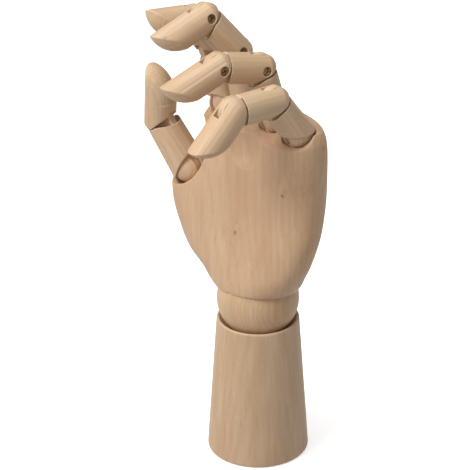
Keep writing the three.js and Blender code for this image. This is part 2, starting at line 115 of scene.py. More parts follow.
PALM_HOLLOW = {"centre": (6, -26.5, 213), "radii": (20, 16.5, 23)}
KNOT_RADIUS = 1.6
PALM_KNOTS = [(0, -18.4, 155), (30.6, -7.1, 184.6)]
THUMB_DISH = {"radius": 30, "below": 4.5, "facing": (-0.25, -0.6, 0.73)}

JOINT = {"tongue": 5, "slot": 5.6, "slot_radius": 19, "slot_centre": -8}
KNUCKLE = {"seat_depth": 7, "pin": 1.25, "heading": 37, "plane": -3, "web": 1.5, "stem": 0.6}
KNUCKLE_LOOK = {"plug": 2, "swell": 0.25}  # the pin is plugged over, and the ball fills its seat
HOOD = {"back": -6, "palm": 9, "overhang": 1.4, "taper": 0.5, "clearance": 0.5, "flare": 12}
SPRING = {"coil": 2.4, "wire": 0.6, "bore": 3.9, "depth": 34}
ANCHOR_PIN = {"radius": 1.1, "span": (-5, 12)}
SCREW = {"head": 2.5, "height": 1.5, "recess": 2.9, "depth": 2.3, "shank": 1.15}
CROSS = {"width": 0.6, "depth": 0.9, "reach": 1.6}
RELIEF = {"angle": 50, "distance": 3.6}
CRADLE_EXTRA = 0.5
FINGERTIP = {"length": 21.5, "depth": 19.4, "width": 13.2}


def digit(name, at, lengths, bends, limits, **more):
    """A digit: its knuckle's place, its bones' lengths, its bends at rest and the bends its seats allow."""
    plain = {"radius": 9.6, "ball": 9, "yaw": 0, "tilt": 0, "screws": [1, 1], "extra": CRADLE_EXTRA}
    made = {**plain, "name": name, "at": at, "lengths": lengths, "bends": bends, "limits": limits, **more}
    made.setdefault("first_radius", made["radius"])
    made.setdefault("spring_depth", SPRING["depth"])
    made.setdefault("pin_span", ANCHOR_PIN["span"])
    made.setdefault("overhang", HOOD["overhang"])
    made.setdefault("taper", HOOD["taper"])
    return made


DIGITS = [
    digit(
        "index", (-30.8, -1.1, 228.4), [36.1, 21.8, 34.2], [5.7, 25.9, 55.2], [84, 84],
        yaw=-2.1, tilt=-10.1,
    ),
    digit(
        "middle", (-6.8, -0.5, 231), [36.2, 30.6, 36.5], [10, 31, 72.6], [78, 84],
        yaw=-9.5, tilt=-8.2,
    ),
    digit(
        "ring", (15.2, 0.1, 229.1), [34.4, 29.3, 37.2], [16.6, 64.3, 33.4], [74, 62],
        yaw=-10.2, tilt=-0.2,
    ),
    digit(
        "little", (37.3, -0.2, 225.3), [30.7, 29.3, 34.8], [38.9, 53.6, 45.7], [64, 60],
        yaw=-3.9, tilt=2.9, screws=[-1, -1], spring_depth=27,
    ),
    digit(
        "thumb", (-50.1, -14, 183.9), [36.3, 35.8], [15, 42.1], [68],
        radius=10.1, first_radius=10.7, extra=0.9, ball=9.8, overhang=1.9, taper=0.85, screws=[1],
        direction=(-0.455, -0.262, 0.851), roll=4.2, seat_bend=15,
        pin_span=(-8.5, 8.5),
    ),
]

# How each kind of wooden piece is sanded: the net's face size, and how often it is smoothed.
NET = {"base": (0.75, 2), "wrist": (0.7, 2), "palm": (0.6, 9), "knuckle": (0.35, 2), "bone": (0.36, 2)}

CAMERA = {"azimuth": 50.26, "elevation": 26.8, "distance": 1384.6, "lens": 170.79, "roll": 0.33}
TARGET = {"height": 150.68, "right": -14.21}

# ---------------------------------------------------------------- matrices


def move(x, y, z):
    return Matrix.Translation((x, y, z))


def turn(axis, angle):
    return Matrix.Rotation(radians(angle), 4, axis)


def basis(x, y, z):
    return Matrix((x, y, z)).transposed().to_4x4()


def in_metres(matrix):
    made = matrix.copy()
    made.translation = matrix.translation * MM
    return made


# ---------------------------------------------------------------- solids (meshes in mm)


def mesh_of(bm, matrix=None):
    if matrix:
        bm.transform(matrix)
    bmesh.ops.recalc_face_normals(bm, faces=bm.faces)
    mesh = bpy.data.meshes.new("solid")
    bm.to_mesh(mesh)
    bm.free()
    return mesh


def turned(profile, segments=SEGMENTS, matrix=None):
    """A solid turned about Z. The profile is pairs of radius and height, closed on itself or on the axis."""
    bm = bmesh.new()
    rings = []
    for radius, height in profile:
        if radius < 1e-6:
            rings.append([bm.verts.new((0, 0, height))])
            continue
        angles = [2 * pi * i / segments for i in range(segments)]
        rings.append([bm.verts.new((radius * cos(a), radius * sin(a), height)) for a in angles])
    pairs = list(zip(rings, rings[1:]))
    if len(rings[0]) > 1 and len(rings[-1]) > 1:
        pairs.append((rings[-1], rings[0]))
    for low, high in pairs:
        for i in range(segments):
            j = (i + 1) % segments
            corners = [low[i % len(low)], low[j % len(low)], high[j % len(high)], high[i % len(high)]]
            distinct = list(dict.fromkeys(corners))
            if len(distinct) > 2:
                bm.faces.new(distinct)
    return mesh_of(bm, matrix)


AXIS_TURN = {"x": turn("Y", 90), "y": turn("X", -90), "z": Matrix.Identity(4)}


def bar(axis, radius, low, high, segments=48, matrix=None, chamfer=0):
    """A round bar along X, Y or Z between two stations."""
    profile = [(0, low), (radius - chamfer, low)]
    if chamfer:
        profile += [(radius, low + chamfer), (radius, high - chamfer)]
    profile += [(radius - chamfer, high), (0, high)]
    place = (matrix or Matrix.Identity(4)) @ AXIS_TURN[axis]
    return turned(profile, segments, place)


def arc(radius, start, end, steps):
    angles = [radians(start + (end - start) * i / steps) for i in range(steps + 1)]
    return [(radius * cos(a), radius * sin(a)) for a in angles]


def ball(radius, centre=(0, 0, 0), segments=SEGMENTS, steps=36):
    profile = arc(radius, -90, 90, steps)
    profile[0] = (0, -radius)
    profile[-1] = (0, radius)
    return turned(profile, segments, move(*centre))


def block(x, y, z, matrix=None):
    bm = bmesh.new()
    bmesh.ops.create_cube(bm, size=1)
    size = Matrix.Diagonal((x[1] - x[0], y[1] - y[0], z[1] - z[0], 1))
    place = move((x[0] + x[1]) / 2, (y[0] + y[1]) / 2, (z[0] + z[1]) / 2) @ size
    return mesh_of(bm, (matrix or Matrix.Identity(4)) @ place)


def shifted(mesh, matrix):
    mesh.transform(matrix)
    return mesh


def scene_object(name, mesh):
    made = bpy.data.objects.new(name, mesh)
    bpy.context.scene.collection.objects.link(made)
    return made


def applied(made):
    """The object's mesh with its modifiers applied; the object itself is removed."""
    bpy.context.view_layer.update()
    graph = bpy.context.evaluated_depsgraph_get()
    mesh = bpy.data.meshes.new_from_object(made.evaluated_get(graph))
    bpy.data.objects.remove(made)
    return mesh


def carved(mesh, steps):
    """The mesh joined with or cut by others: steps are pairs of "add", "cut" or "keep" and a mesh."""
    operations = {"add": "UNION", "cut": "DIFFERENCE", "keep": "INTERSECT"}
    made = scene_object("carved", mesh)
    tools = []
    for kind, other in steps:
        tool = scene_object("tool", other)
        tools.append(tool)
        boolean = made.modifiers.new("carve", "BOOLEAN")
        boolean.solver = "MANIFOLD"
        boolean.operation = operations[kind]
        boolean.object = tool
    result = applied(made)
    for tool in tools:
        bpy.data.objects.remove(tool)
    return result


def eased(mesh, grain, rounds):
    """The mesh with its sharp edges sanded round, as a fine even net of faces."""
    made = scene_object("eased", mesh)
    net = made.modifiers.new("net", "REMESH")
    net.mode = "VOXEL"
    net.voxel_size = grain
    sand = made.modifiers.new("sand", "SMOOTH")
    sand.factor = 0.5
    sand.iterations = rounds
    sanded = applied(made)
    sanded.shade_smooth()
    return sanded


def swept(points, radius, sides=8):
    """A round wire through the points."""
    bm = bmesh.new()
    count = len(points)
    rings = []
    side = None
    for i, point in enumerate(points):
        ahead = points[min(i + 1, count - 1)] - points[max(i - 1, 0)]
        ahead.normalize()
        if side is None:
            side = ahead.orthogonal().normalized()
        else:
            side = (side - ahead * side.dot(ahead)).normalized()
        up = ahead.cross(side)
        ring = []
        for k in range(sides):
            a = 2 * pi * k / sides
            ring.append(bm.verts.new(point + (side * cos(a) + up * sin(a)) * radius))
        rings.append(ring)
    for low, high in zip(rings, rings[1:]):
        for k in range(sides):
            j = (k + 1) % sides
            bm.faces.new([low[k], low[j], high[j], high[k]])
    bm.faces.new(list(reversed(rings[0])))
    bm.faces.new(rings[-1])
    return mesh_of(bm)


# ---------------------------------------------------------------- materials


class Nodes:
    """A material's node tree, filled one node at a time."""

    def __init__(self, name):
        self.material = bpy.data.materials.new(name)
        self.material.use_nodes = True
        self.tree = self.material.node_tree
        self.shader = self.tree.nodes["Principled BSDF"]

    def add(self, kind, inputs=None, **settings):
        made = self.tree.nodes.new(kind)
        for key, value in settings.items():
            setattr(made, key, value)
        for key, value in (inputs or {}).items():
            if isinstance(value, bpy.types.NodeSocket):
                self.tree.links.new(value, made.inputs[key])
            else:
                made.inputs[key].default_value = value
        return made

    def math(self, operation, a, b=0.0, c=0.5):
        return self.add("ShaderNodeMath", {0: a, 1: b, 2: c}, operation=operation).outputs[0]

    def vector(self, operation, a, b):
        return self.add("ShaderNodeVectorMath", {0: a, 1: b}, operation=operation).outputs[0]

    def length(self, a):
        return self.add("ShaderNodeVectorMath", {0: a}, operation="LENGTH").outputs["Value"]

    def mix(self, amount, a, b, blend="MIX"):
        made = self.add("ShaderNodeMix", {0: amount, 6: a, 7: b}, data_type="RGBA", blend_type=blend)
        return made.outputs[2]

    def ramp(self, value, stops):
        made = self.add("ShaderNodeValToRGB", {0: value})
        elements = made.color_ramp.elements
        while len(elements) < len(stops):
            elements.new(0.5)
        for element, (at, shade) in zip(elements, stops):
            element.position = at
            element.color = (shade, shade, shade, 1)
        return made.outputs[0]

    def link(self, value, socket):
        self.tree.links.new(value, self.shader.inputs[socket])


def rgb(red, green, blue):
    """A colour given as it looks on a screen, 0 to 255."""
    def linear(value):
        value /= 255
        return value / 12.92 if value < 0.04045 else ((value + 0.055) / 1.055) ** 2.4

    return (linear(red), linear(green), linear(blue), 1)


def wood(name, seed, tones, frame, tree=(60, 25), ring=1.9, figure=0.2, pin_knots=()):
    """Pale close-grained wood, its grain along Z of a frame: rings, streaks, flecks, pores, paler edges from
    a painted highlight, darker corners from painted shade.
    pin_knots are places in that frame, in mm, where a tiny twig left its mark."""
    light, deep, streak = tones
    made = Nodes(name)
    place = made.add("ShaderNodeTexCoord").outputs["Object"]
    inward = in_metres(frame).inverted()
    turned_in = {"Vector": place, "Location": inward.translation, "Rotation": inward.to_euler("XYZ")}
    grain = made.add("ShaderNodeMapping", turned_in).outputs[0]
    offset = (seed * 0.137, seed * 0.071, seed * 0.213)

    def noise(scale, size, detail=3.0, rough=0.5, warp=0.0):
        at = made.add("ShaderNodeMapping", {"Vector": grain, "Location": offset, "Scale": scale}).outputs[0]
        inputs = {"Vector": at, "Scale": size, "Detail": detail, "Roughness": rough, "Distortion": warp}
        return made.add("ShaderNodeTexNoise", inputs).outputs["Fac"]

    # Growth rings: distance from the heart of the tree, wavering slowly along the grain.
    heart = (-tree[0] * MM, -tree[1] * MM, 0)
    from_heart = made.vector("SUBTRACT", grain, heart)
    distance = made.length(made.vector("MULTIPLY", from_heart, (1, 1, 0.045)))
    waver = noise((1, 1, 0.25), 38, 2.0)
    wandering = made.math("ADD", distance, made.math("MULTIPLY", waver, 0.0042))
    phase = made.math("MULTIPLY", wandering, 2 * pi / (ring * MM))
    rings = made.math("MULTIPLY_ADD", made.math("SINE", phase), 0.5, 0.5)
    late = made.ramp(rings, [(0.35, 0), (0.95, 1)])

    broad = noise((1, 1, 0.12), 55, 3.0, 0.55, 0.3)
    streaks = noise((1, 1, 0.05), 420, 4.0, 0.62, 0.25)
    fibres = noise((1, 1, 0.03), 1500, 3.0, 0.6)
    pores = noise((1, 1, 0.09), 1500, 2.0, 0.5)
    flecks = noise((1, 1, 0.16), 900, 1.0, 0.4)

    colour = made.mix(made.ramp(broad, [(0.3, 0), (0.72, 1)]), light, deep)
    colour = made.mix(made.math("MULTIPLY", late, figure), colour, streak)
    colour = made.mix(made.math("MULTIPLY", made.ramp(streaks, [(0.42, 0), (0.72, 1)]), 0.28), colour, streak)
    brown = (streak[0] * 0.55, streak[1] * 0.47, streak[2] * 0.4, 1)
    rosy = (deep[0] * 0.98, deep[1] * 0.86, deep[2] * 0.78, 1)
    colour = made.mix(made.math("MULTIPLY", made.ramp(pores, [(0.64, 0), (0.76, 1)]), 0.3), colour, brown)
    pale = (min(light[0] * 1.2, 1), min(light[1] * 1.24, 1), min(light[2] * 1.28, 1), 1)
    colour = made.mix(made.math("MULTIPLY", made.ramp(flecks, [(0.62, 0), (0.75, 1)]), 0.2), colour, pale)
    clouds = noise((1, 1, 0.35), 26, 2.0, 0.5, 0.6)
    colour = made.mix(made.math("MULTIPLY", made.ramp(clouds, [(0.5, 0), (0.68, 1)]), 0.22), colour, rosy)
    silver = noise((1, 1, 0.1), 95, 2.0, 0.5, 0.8)
    colour = made.mix(made.math("MULTIPLY", made.ramp(silver, [(0.56, 0), (0.7, 1)]), 0.28), colour, pale)

    # Small pin knots, far apart.
    spread = {"Vector": grain, "Location": offset, "Scale": (1, 1, 0.55)}
    spot_at = made.add("ShaderNodeMapping", spread).outputs[0]
    spots = made.add("ShaderNodeTexVoronoi", {"Vector": spot_at, "Scale": 46.0}).outputs["Distance"]
    knots = made.ramp(spots, [(0.0, 1), (0.055, 0)])
    colour = made.mix(made.math("MULTIPLY", knots, 0.6), colour, brown)

    for knot in pin_knots:
        around = made.vector("SUBTRACT", grain, Vector(knot) * MM)
        away = made.length(made.vector("MULTIPLY", around, (1, 0.3, 0.7)))
        uneven = made.math("ADD", away, made.math("MULTIPLY", fibres, 0.0006))
        mark = made.ramp(made.math("MULTIPLY", uneven, 1 / (KNOT_RADIUS * MM)), [(0.45, 1), (1.0, 0)])
        colour = made.mix(made.math("MULTIPLY", mark, 0.8), colour, brown)

    # Edges are paler with a painted highlight, and concave corners are darker with painted shade.
    edge = made.add("ShaderNodeNewGeometry").outputs["Pointiness"]
    # Painted highlight: sharp edges are mixed towards the pale tone as if they caught the light.
    edge_wear_and_highlight = made.ramp(edge, [(0.51, 0), (0.565, 1)])
    colour = made.mix(made.math("MULTIPLY", edge_wear_and_highlight, 0.75), colour, pale)
    # Painted shade: concave corners are darkened towards brown as if shade fell in them.
    corner_shade = made.ramp(edge, [(0.34, 1), (0.46, 0)])
    colour = made.mix(made.math("MULTIPLY", corner_shade, 0.22), colour, brown)
    made.link(colour, "Base Color")

    roughness = made.math("MULTIPLY", streaks, 0.16)
    roughness = made.math("ADD", roughness, made.math("MULTIPLY", edge_wear_and_highlight, -0.06))
    made.link(made.math("ADD", roughness, 0.46), "Roughness")
    made.shader.inputs["Specular IOR Level"].default_value = 0.38

    height = made.math("ADD", made.math("MULTIPLY", fibres, 0.5), made.math("MULTIPLY", streaks, 0.6))
    pits = made.ramp(pores, [(0.62, 0), (0.74, 1)])
    height = made.math("SUBTRACT", height, made.math("MULTIPLY", pits, 0.6))
    height = made.math("ADD", height, made.math("MULTIPLY", late, 0.12))
    bump = made.add("ShaderNodeBump", {"Height": height, "Strength": 0.28, "Distance": 0.00012})
    made.link(bump.outputs[0], "Normal")
    return made.material


def metal(name, bright, dark, roughness, scratch=260.0):
    """Drawn or turned metal: tarnish in patches, fine scratches, brighter edges."""
    made = Nodes(name)
    place = made.add("ShaderNodeTexCoord").outputs["Object"]
    patches = made.add("ShaderNodeTexNoise", {"Vector": place, "Scale": 620.0, "Detail": 4.0}).outputs["Fac"]
    stretch = made.add("ShaderNodeMapping", {"Vector": place, "Scale": (1, 1, 9)}).outputs[0]
    drawn = {"Vector": stretch, "Scale": scratch, "Detail": 5.0}
    lines = made.add("ShaderNodeTexNoise", drawn).outputs["Fac"]
    edge = made.add("ShaderNodeNewGeometry").outputs["Pointiness"]
    edge_wear_and_highlight = made.ramp(edge, [(0.52, 0), (0.62, 1)])
    colour = made.mix(made.ramp(patches, [(0.35, 0), (0.7, 1)]), bright, dark)
    colour = made.mix(made.math("MULTIPLY", edge_wear_and_highlight, 0.6), colour, bright)
    made.link(colour, "Base Color")
    made.link(made.math("MULTIPLY_ADD", lines, 0.3, roughness - 0.15), "Roughness")
    made.shader.inputs["Metallic"].default_value = 1.0
    bump = made.add("ShaderNodeBump", {"Height": lines, "Strength": 0.2, "Distance": 0.00004})
    made.link(bump.outputs[0], "Normal")
    return made.material


CREAM = rgb(214, 187, 155)
HONEY = rgb(204, 171, 136)
ROSE = rgb(180, 138, 103)
FINGER_TONES = (CREAM, HONEY, ROSE)
BASE_TONES = (rgb(207, 179, 147), rgb(194, 160, 125), ROSE)
BALL_TONES = (rgb(213, 182, 147), rgb(200, 164, 126), ROSE)
PALM_TONES = (rgb(206, 174, 141), rgb(194, 156, 121), rgb(180, 136, 101))

BRONZED = metal("bronzed_screw_steel", rgb(150, 118, 84), rgb(74, 56, 42), 0.36)
PIN_STEEL = metal("dull_pin_steel", rgb(170, 166, 158), rgb(112, 106, 98), 0.42)
SPRING_STEEL = metal("drawn_spring_steel", rgb(196, 196, 198), rgb(138, 136, 134), 0.3)

# ---------------------------------------------------------------- pieces


def finished(mesh, node, body, place, material):
    """Turns a mesh in mm into a piece in metres, in place of its CAD node, riding on a body."""
    mesh.transform(Matrix.Scale(MM, 4) @ place)
    mesh.materials.clear()
    mesh.materials.append(material)
    made = scene_object(node + "_look", mesh)
    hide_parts(node)
    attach(made, body)
    return made


def sharp_below(mesh, angle=35):
    mesh.shade_smooth()
    mesh.set_sharp_from_angle(angle=radians(angle))
    return mesh


# ---- springs, pins and screws


def spring_points(coil, wire, turns, top, coil_top, bottom, hook):
    """A tension spring along Z: a straight stem, a close coil and a hook round the lower pin."""
    per_turn = 18
    coil_bottom = bottom + hook + 5
    points = [Vector(top), Vector((0, 0, coil_top + 2))]
    for i in range(turns * per_turn + 1):
        a = 2 * pi * i / per_turn
        z = coil_top + (coil_bottom - coil_top) * i / (turns * per_turn)
        points.append(Vector((coil * cos(a), coil * sin(a), z)))
    points.append(Vector((0, 0, coil_bottom - 2)))
    for i in range(19):
        a = radians(80 - 250 * i / 18)
        points.append(Vector((hook * cos(a), 0, bottom + hook * sin(a))))
    return points


def screw_mesh(radius, side):
    top = radius - SCREW["depth"] + SCREW["height"]
    under = top - SCREW["height"]
    half = CROSS["width"] / 2
    # Head: a cone under a low dome with a rolled edge.
    profile = [(0, under - 0.4), (SCREW["shank"], under - 0.4), (SCREW["head"] - 0.15, top - 0.55)]
    profile += [(SCREW["head"], top - 0.4), (SCREW["head"] - 0.12, top - 0.24)]
    dome = [radians(18 * k) for k in range(1, 5)]
    profile += [(SCREW["head"] * cos(a), top - 0.24 + 0.24 * sin(a)) for a in dome]
    profile += [(0, top)]
    head = turned(profile, 48, AXIS_TURN["x"])
    shank = bar("x", SCREW["shank"], -radius + 2.5, under + 0.5, 24)
    reach = CROSS["reach"]
    cross = [
        block([top - CROSS["depth"], top + 1], [-reach, reach], [-half, half]),
        block([top - CROSS["depth"], top + 1], [-half, half], [-reach, reach]),
    ]
    made = carved(head, [("add", shank), ("cut", cross[0]), ("cut", cross[1])])
    if side < 0:
        made.transform(turn("Z", 180))
    return sharp_below(made)


def screw_hole(radius, side):
    """The cutters for a screw: the recess for its head and the hole for its shank."""
    place = turn("Z", 180) if side < 0 else Matrix.Identity(4)
    recess = bar("x", SCREW["recess"], radius - SCREW["depth"] - GAP, radius + 2, 48, place)
    hole = bar("x", SCREW["shank"] + GAP, -radius + 2.2, radius, 32, place)
    return [("cut", recess), ("cut", hole)]


# ---- bones


def foot_of(finger):
    return finger["radius"] + finger["extra"]


def seat_profile(radius, seat, length):
    rim = degrees(acos(radius / seat))
    return [(max(r, 0), z + length) for r, z in arc(seat, -rim, -90, 14)]


def seat_trough(radius, length, limit):
    return bar("z", radius, 0, 40, SEGMENTS, move(0, 0, length) @ turn("X", limit))


def tongue(radius, start, length):
    half = JOINT["tongue"] / 2
    place = move(0, 0, length)
    disc = bar("x", radius, -half, half, SEGMENTS, place)
    neck = block([-half, half], [-radius * 0.9, radius * 0.9], [start - length, 0], place)
    return [("add", disc), ("add", neck)]


def tongue_hole(length):
    reach = JOINT["tongue"]
    return ("cut", bar("x", SCREW["shank"] + GAP, -reach, reach, 32, move(0, 0, length)))


def slotted_end(radius, side):
    half = JOINT["slot"] / 2
    slot = bar("x", JOINT["slot_radius"], -half, half, SEGMENTS, move(0, 0, JOINT["slot_centre"]))
    slant = block([-20, 20], [-40, 40], [-60, -RELIEF["distance"]], turn("X", -RELIEF["angle"]))
    return [("cut", slot), ("cut", slant), *screw_hole(radius, side)]


def round_foot(finger):
    foot = foot_of(finger)
    meets = degrees(acos(finger["radius"] / foot))
    points = arc(foot, -90, -meets, 16)
    points[0] = (0, -foot)
    return points


def first_bone(finger):
    """A hood over the knuckle ball, a tongue in the ball's slot, and a tongue at the upper joint."""
    knuckle, length = finger["ball"], finger["lengths"][0]
    radius, seat = finger["first_radius"], foot_of(finger) + GAP
    hood = knuckle + finger["overhang"]
    inside = arc(knuckle + BALL_GAP, 90, -45, 28)
    inside[0] = (0, knuckle + BALL_GAP)
    outside = arc(hood, -45, 0, 10)
    sides = [(hood + (radius - hood) * t, length * finger["taper"] * t) for t in (0.35, 0.7, 1)]
    body = turned([*inside, *outside, *sides, *seat_profile(radius, seat, length)])
    slant = degrees(atan2(HOOD["palm"] - HOOD["back"], 2 * hood))
    middle = (HOOD["palm"] + HOOD["back"]) / 2
    below = block([-40, 40], [-40, 40], [-60, 0], move(0, 0, middle) @ turn("X", -slant))
    disc = knuckle - KNUCKLE["web"] - GAP
    half = JOINT["tongue"] / 2
    steps = [("cut", below), ("cut", seat_trough(seat, length, finger["limits"][0]))]
    steps += tongue(finger["radius"], length / 2, length)
    steps += [("add", bar("x", disc, -half, half, SEGMENTS))]
    steps += [("add", block([-half, half], [-disc * 0.8, disc * 0.8], [0, knuckle + 2]))]
    steps += [("cut", bar("x", KNUCKLE["pin"] + GAP, -half - 1, half + 1, 32)), tongue_hole(length)]
    return carved(body, steps)


def middle_bone(finger):
    """Slotted below, tongue above."""
    radius, length, seat = finger["radius"], finger["lengths"][1], foot_of(finger) + GAP
    body = turned([*round_foot(finger), *seat_profile(radius, seat, length)])
    steps = [("cut", seat_trough(seat, length, finger["limits"][1]))]
    steps += tongue(radius, length / 2 + 3, length)
    steps += [*slotted_end(radius, finger["screws"][0]), tongue_hole(length)]
    return carved(body, steps)


def end_bone(finger):
    """Slotted below, its tip narrowed and rounded off on the palm side like a fingertip."""
    radius, length = finger["radius"], finger["lengths"][-1]
    start = length - FINGERTIP["length"]
    body = turned([*round_foot(finger), (radius, length), (0, length)])
    size = Matrix.Diagonal((FINGERTIP["width"], FINGERTIP["depth"], FINGERTIP["length"], 1))
    oval = shifted(ball(1, segments=96, steps=64), move(0, radius * 0.96, start) @ size)
    tip = carved(oval, [("add", block([-20, 20], [-20, 20], [-20, start]))])
    return carved(body, [("keep", tip), *slotted_end(radius, finger["screws"][-1])])


# ---- knuckles


def knuckle_ball(radius):
    """A slot for the bone's tongue, open upwards and towards the palm, and a cross hole."""
    half = JOINT["slot"] / 2
    inner = bar("x", radius - KNUCKLE["web"], -half, half, SEGMENTS)
    opening = block([-half, half], [-20, 20], [KNUCKLE["plane"], 20], turn("X", KNUCKLE["heading"]))
    hole = bar("x", KNUCKLE["pin"] + GAP, KNUCKLE_LOOK["plug"] - radius, radius - KNUCKLE_LOOK["plug"], 32)
    stem = bar("z", KNUCKLE["stem"] + GAP, -12, -2, 24)
    cuts = [("cut", tool) for tool in (inner, opening, hole, stem)]
    return carved(ball(radius + KNUCKLE_LOOK["swell"]), cuts)


def socket_cut(finger):
    """What the palm loses at a knuckle: the spring's bore, the ball's seat and the recess for the hood."""
    seat = finger["ball"] + BALL_GAP
    recess = finger["ball"] + finger["overhang"] + HOOD["clearance"]
    shoulder = -degrees(asin(KNUCKLE["seat_depth"] / seat))
    start = -degrees(asin(KNUCKLE["seat_depth"] / recess))
    reach = 12
    profile = [(0, -seat), *arc(seat, -86, shoulder, 12), *arc(recess, start, 0, 14)]
    profile += [(recess + reach * tan(radians(HOOD["flare"])), reach), (0, reach)]
    bore = bar("z", SPRING["bore"], -finger["spring_depth"] - 3, 2 - seat)
    return [("cut", turned(profile)), ("cut", bore)]


def anchor_hole(finger):
    """The hole for the pin that a knuckle spring hooks on. The fingers' are drilled in from the back."""
    front, back = finger["pin_span"]
    end = back + GAP if "direction" in finger else 30
    place = move(0, 0, -finger["spring_depth"])
    return ("cut", bar("y", ANCHOR_PIN["radius"] + GAP, front - GAP, end, 32, place))


# ---- palm


def section_value(column, height):
    """Smooth value of one column of the palm's section table at a height."""
    last = len(PALM_SECTIONS) - 2
    i = max([k for k, row in enumerate(PALM_SECTIONS) if row[0] <= height] or [0])
    i = min(i, last)

    def slope(k):
        low, high = PALM_SECTIONS[max(k - 1, 0)], PALM_SECTIONS[min(k + 1, last + 1)]
        return (high[column] - low[column]) / (high[0] - low[0])

    low, high = PALM_SECTIONS[i], PALM_SECTIONS[i + 1]
    span = high[0] - low[0]
    t = (height - low[0]) / span
    start = (2 * t**3 - 3 * t**2 + 1) * low[column] + (t**3 - 2 * t**2 + t) * span * slope(i)
    return start + (3 * t**2 - 2 * t**3) * high[column] + (t**3 - t**2) * span * slope(i + 1)


def palm_body(around=120, rings=90):
    bm = bmesh.new()
    bottom, top = PALM_SECTIONS[0][0], PALM_SECTIONS[-1][0]
    layers = []
    for k in range(rings + 1):
        height = bottom + (top - bottom) * k / rings
        cx, cy, width, depth, square, twist = [section_value(c, height) for c in range(1, 7)]
        c, s = cos(radians(twist)), sin(radians(twist))
        layer = []
        for j in range(around):
            a = 2 * pi * j / around
            x = width * abs(cos(a)) ** (2 / square) * (1 if cos(a) > 0 else -1)
            y = depth * abs(sin(a)) ** (2 / square) * (1 if sin(a) > 0 else -1)
            layer.append(bm.verts.new((cx + c * x - s * y, cy + s * x + c * y, height)))
        layers.append(layer)
    for low, high in zip(layers, layers[1:]):
        for j in range(around):
            n = (j + 1) % around
            bm.faces.new([low[j], low[n], high[n], high[j]])
    bm.faces.new(list(reversed(layers[0])))
    bm.faces.new(layers[-1])
    return mesh_of(bm)


def above_arch(offset, slope):
    """Everything above the knuckle arch, raised by an offset, swept along the sloping top face."""
    reach, steps, depth = 75, 48, 240
    lift = cos(radians(slope))
    bm = bmesh.new()
    outline = []
    for k in range(steps + 1):
        x = -reach + 2 * reach * k / steps
        level = (ARCH["crown"] + offset - ARCH["droop"] * x**2) * lift
        outline.append((ARCH["centre"] + x, level))
    outline += [(outline[-1][0], outline[-1][1] + 90), (outline[0][0], outline[0][1] + 90)]
    near = [bm.verts.new((x, y, -depth)) for x, y in outline]
    far = [bm.verts.new((x, y, depth)) for x, y in outline]
    for j in range(len(outline)):
        n = (j + 1) % len(outline)
        bm.faces.new([near[j], near[n], far[n], far[j]])
    bm.faces.new(near)
    bm.faces.new(far)
    return mesh_of(bm, turn("X", 90 + slope))


def thumb_seat(finger):
    along = Vector(finger["direction"]).normalized()
    across = (Vector((0, 1, 0)) - along * along.y).normalized()
    third = along.cross(across)
    roll = radians(finger["roll"])
    hinge = across * cos(roll) + third * sin(roll)
    back = along.cross(hinge)
    return basis(hinge, back, along) @ turn("X", -finger["seat_bend"])


def seat_of(finger):
    return thumb_seat(finger) if "direction" in finger else Matrix.Identity(4)


def palm_block():
    size = Matrix.Diagonal((*PALM_HOLLOW["radii"], 1))
    hollow = shifted(ball(1, segments=120, steps=80), move(*PALM_HOLLOW["centre"]) @ size)
    thumb = DIGITS[-1]
    facing = Vector(THUMB_DISH["facing"]).normalized()
    dish = facing * (THUMB_DISH["radius"] - THUMB_DISH["below"]) + Vector(thumb["at"])
    pin_at = move(0, 0, WRIST_SPRING["upper_pin"])
    steps = [
        ("cut", above_arch(-PALM_TOP["drop"], PALM_TOP["slope"])),
        ("cut", above_arch(PALM_TOP["lip"], 0)),
        ("cut", hollow),
        ("cut", ball(THUMB_DISH["radius"], dish, 120, 80)),
        ("cut", ball(WRIST["radius"] + BALL_GAP, (0, 0, WRIST["height"]), 96, 64)),
        ("cut", bar("z", PALM_BORE["radius"], 120, PALM_BORE["top"])),
        ("cut", bar("y", PALM_PIN["radius"] + GAP, PALM_PIN["front"] - GAP, 40, 32, pin_at)),
    ]
    for finger in DIGITS:
        place = move(*finger["at"]) @ seat_of(finger)
        steps += [(kind, shifted(tool, place)) for kind, tool in [*socket_cut(finger), anchor_hole(finger)]]
    return carved(palm_body(), steps)


# ---- base and wrist


def forearm_base():
    foot, rim, top = BASE["foot"], BASE["rim"], BASE["height"]
    chamfer, edge = BASE["chamfer"], BASE["round"]
    profile = [(0, 0), (foot - chamfer, 0), (foot, chamfer), (rim, top - edge), (rim - edge, top), (0, top)]
    lip = top - RIM_FLARE["depth"]
    inner, outer = RIM_FLARE["inner"], RIM_FLARE["outer"]
    flare = [(0, lip), (inner, lip), (outer, top + GAP), (outer, top + 1), (0, top + 1)]
    steps = [
        ("cut", turned(flare, 120)),
        ("cut", ball(WRIST["radius"] + BALL_GAP, (0, 0, WRIST["height"]), 120, 64)),
        ("cut", bar("z", BASE["bore"], 5, top)),
        ("cut", bar("z", COUNTERBORE["radius"], -1, COUNTERBORE["depth"])),
    ]
    return carved(turned(profile, 160), steps)


def wrist_ball():
    edge = degrees(acos(WRIST["bore"] / WRIST["radius"]))
    return turned(arc(WRIST["radius"], -edge, edge, 60), 120)


# ---------------------------------------------------------------- assembly

IDENTITY = Matrix.Identity(4)
heading = radians(WRIST["heading"])
lean = Matrix.Rotation(radians(-WRIST["lean"]), 4, Vector((cos(heading), sin(heading), 0)))
wrist_frame = move(0, 0, WRIST["height"]) @ lean
palm_frame = wrist_frame @ move(0, 0, -WRIST["height"])

